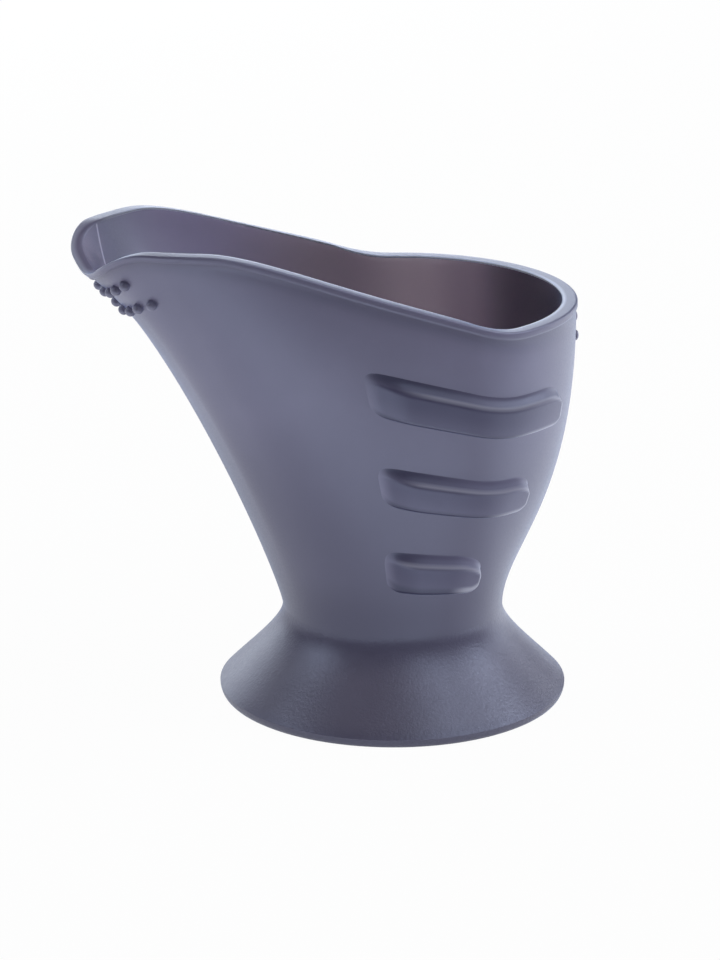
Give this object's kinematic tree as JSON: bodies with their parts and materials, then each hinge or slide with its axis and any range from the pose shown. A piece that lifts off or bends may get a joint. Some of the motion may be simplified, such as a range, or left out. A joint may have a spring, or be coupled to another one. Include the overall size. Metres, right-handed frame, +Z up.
{
  "type": "training cup",
  "caption": "Small soft training cup for a toddler: a leaning bowl with a scooped drinking lip on a flared foot, with raised finger grips on both sides and rows of small nubs.",
  "frame": {"origin": "centre of the foot's standing ring, on the table", "axes": "+Z up out of the mouth, -X towards the drinking lip, +Y across the cup to its right side"},
  "size_m": [0.087, 0.06, 0.0856],
  "materials": {
    "cup_wall": "frosted, slightly translucent soft elastomer, dusky slate blue",
    "raised_detail": "satin, the same soft elastomer where it is thicker and looks darker"
  },
  "bodies": {
    "root": {"bowl": "cup_wall", "foot": "cup_wall", "left_top_grip": "raised_detail", "left_middle_grip": "raised_detail", "left_bottom_grip": "raised_detail", "right_top_grip": "raised_detail", "right_middle_grip": "raised_detail", "right_bottom_grip": "raised_detail", "upper_lip_nubs": "raised_detail", "lower_lip_nubs": "raised_detail", "upper_rear_nubs": "raised_detail", "lower_rear_nubs": "raised_detail"}
  },
  "joints": []
}
